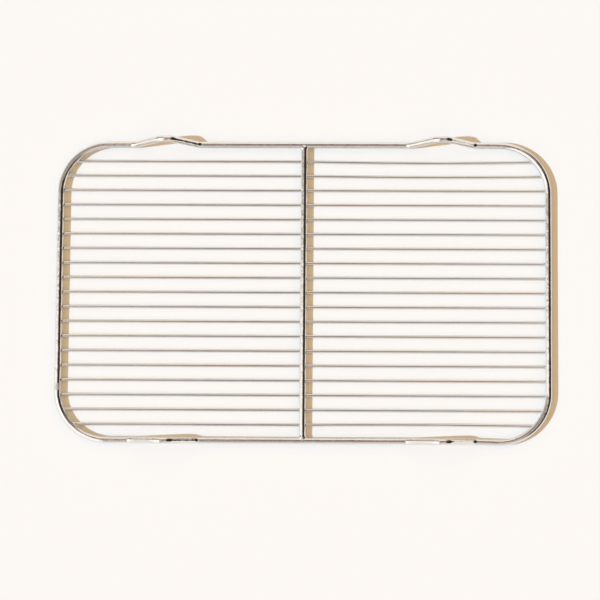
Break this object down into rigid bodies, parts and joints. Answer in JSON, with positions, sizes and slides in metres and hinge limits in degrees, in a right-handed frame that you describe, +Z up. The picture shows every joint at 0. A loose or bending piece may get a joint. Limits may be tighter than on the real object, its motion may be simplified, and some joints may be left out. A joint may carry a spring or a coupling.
{
  "type": "roasting rack",
  "caption": "Flat wire roasting rack: a heavy round-wire frame with bent feet and a bar across its middle, and thin parallel wires welded to both, to hold food above a pan.",
  "frame": {"origin": "on the table under the middle of the rack, with the rack lying upside down on its grid and its feet up", "axes": "+X along the rack and its thin wires, +Y across it along the centre bar, +Z up towards the feet's crests"},
  "size_m": [0.42, 0.2614, 0.0276],
  "materials": {
    "heavy_wire": "bright drawn and polished stainless steel wire",
    "grid_wire": "bright drawn and polished stainless steel wire, thin gauge"
  },
  "bodies": {
    "root": {"frame": "heavy_wire", "centre_bar": "heavy_wire", "grid_wire_01": "grid_wire", "grid_wire_02": "grid_wire", "grid_wire_03": "grid_wire", "grid_wire_04": "grid_wire", "grid_wire_05": "grid_wire", "grid_wire_06": "grid_wire", "grid_wire_07": "grid_wire", "grid_wire_08": "grid_wire", "grid_wire_09": "grid_wire", "grid_wire_10": "grid_wire", "grid_wire_11": "grid_wire", "grid_wire_12": "grid_wire", "grid_wire_13": "grid_wire", "grid_wire_14": "grid_wire", "grid_wire_15": "grid_wire", "grid_wire_16": "grid_wire", "grid_wire_17": "grid_wire", "grid_wire_18": "grid_wire", "grid_wire_19": "grid_wire"}
  },
  "joints": []
}
